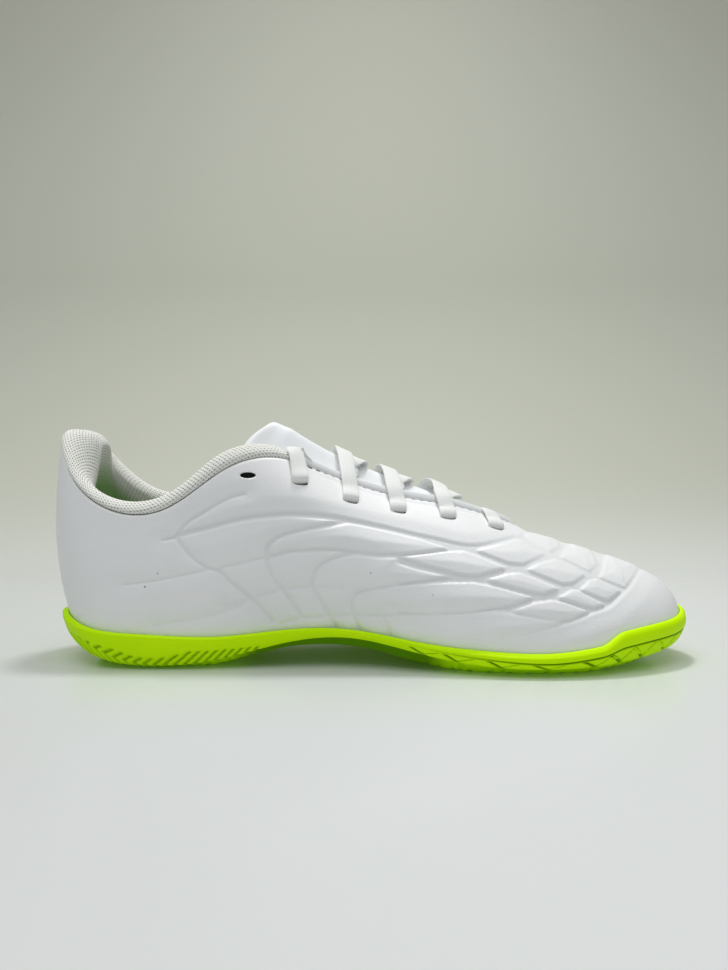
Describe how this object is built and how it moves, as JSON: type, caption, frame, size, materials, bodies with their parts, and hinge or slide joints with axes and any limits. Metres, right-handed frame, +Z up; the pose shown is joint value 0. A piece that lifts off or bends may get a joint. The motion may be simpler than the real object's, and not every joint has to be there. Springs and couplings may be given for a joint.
{
  "type": "indoor soccer shoe",
  "caption": "Low indoor soccer shoe for the left foot, white embossed upper, padded mesh collar, flat laces and a lime rubber sole.",
  "frame": {"origin": "on the ground under the middle of the shoe", "axes": "+X towards the toe, +Y towards the outer side of the foot, +Z up"},
  "size_m": [0.2788, 0.0954, 0.1027],
  "materials": {
    "white_synthetic": "embossed synthetic leather with a low satin sheen",
    "lime_rubber": "satin moulded rubber",
    "lime_sock": "matt sock lining",
    "white_mesh": "padded knitted mesh with small dark holes",
    "tongue_synthetic": "smooth synthetic leather",
    "white_lace": "flat woven lace"
  },
  "bodies": {
    "root": {"upper": "white_synthetic", "outsole": "lime_rubber", "insole": "lime_sock", "collar": "white_mesh", "throat_lining": "tongue_synthetic", "tongue": "tongue_synthetic", "lace_bar": "white_lace", "lace_cross_1": "white_lace", "lace_cross_2": "white_lace", "lace_cross_3": "white_lace", "lace_top_inner": "white_lace", "lace_top_outer": "white_lace"}
  },
  "joints": []
}
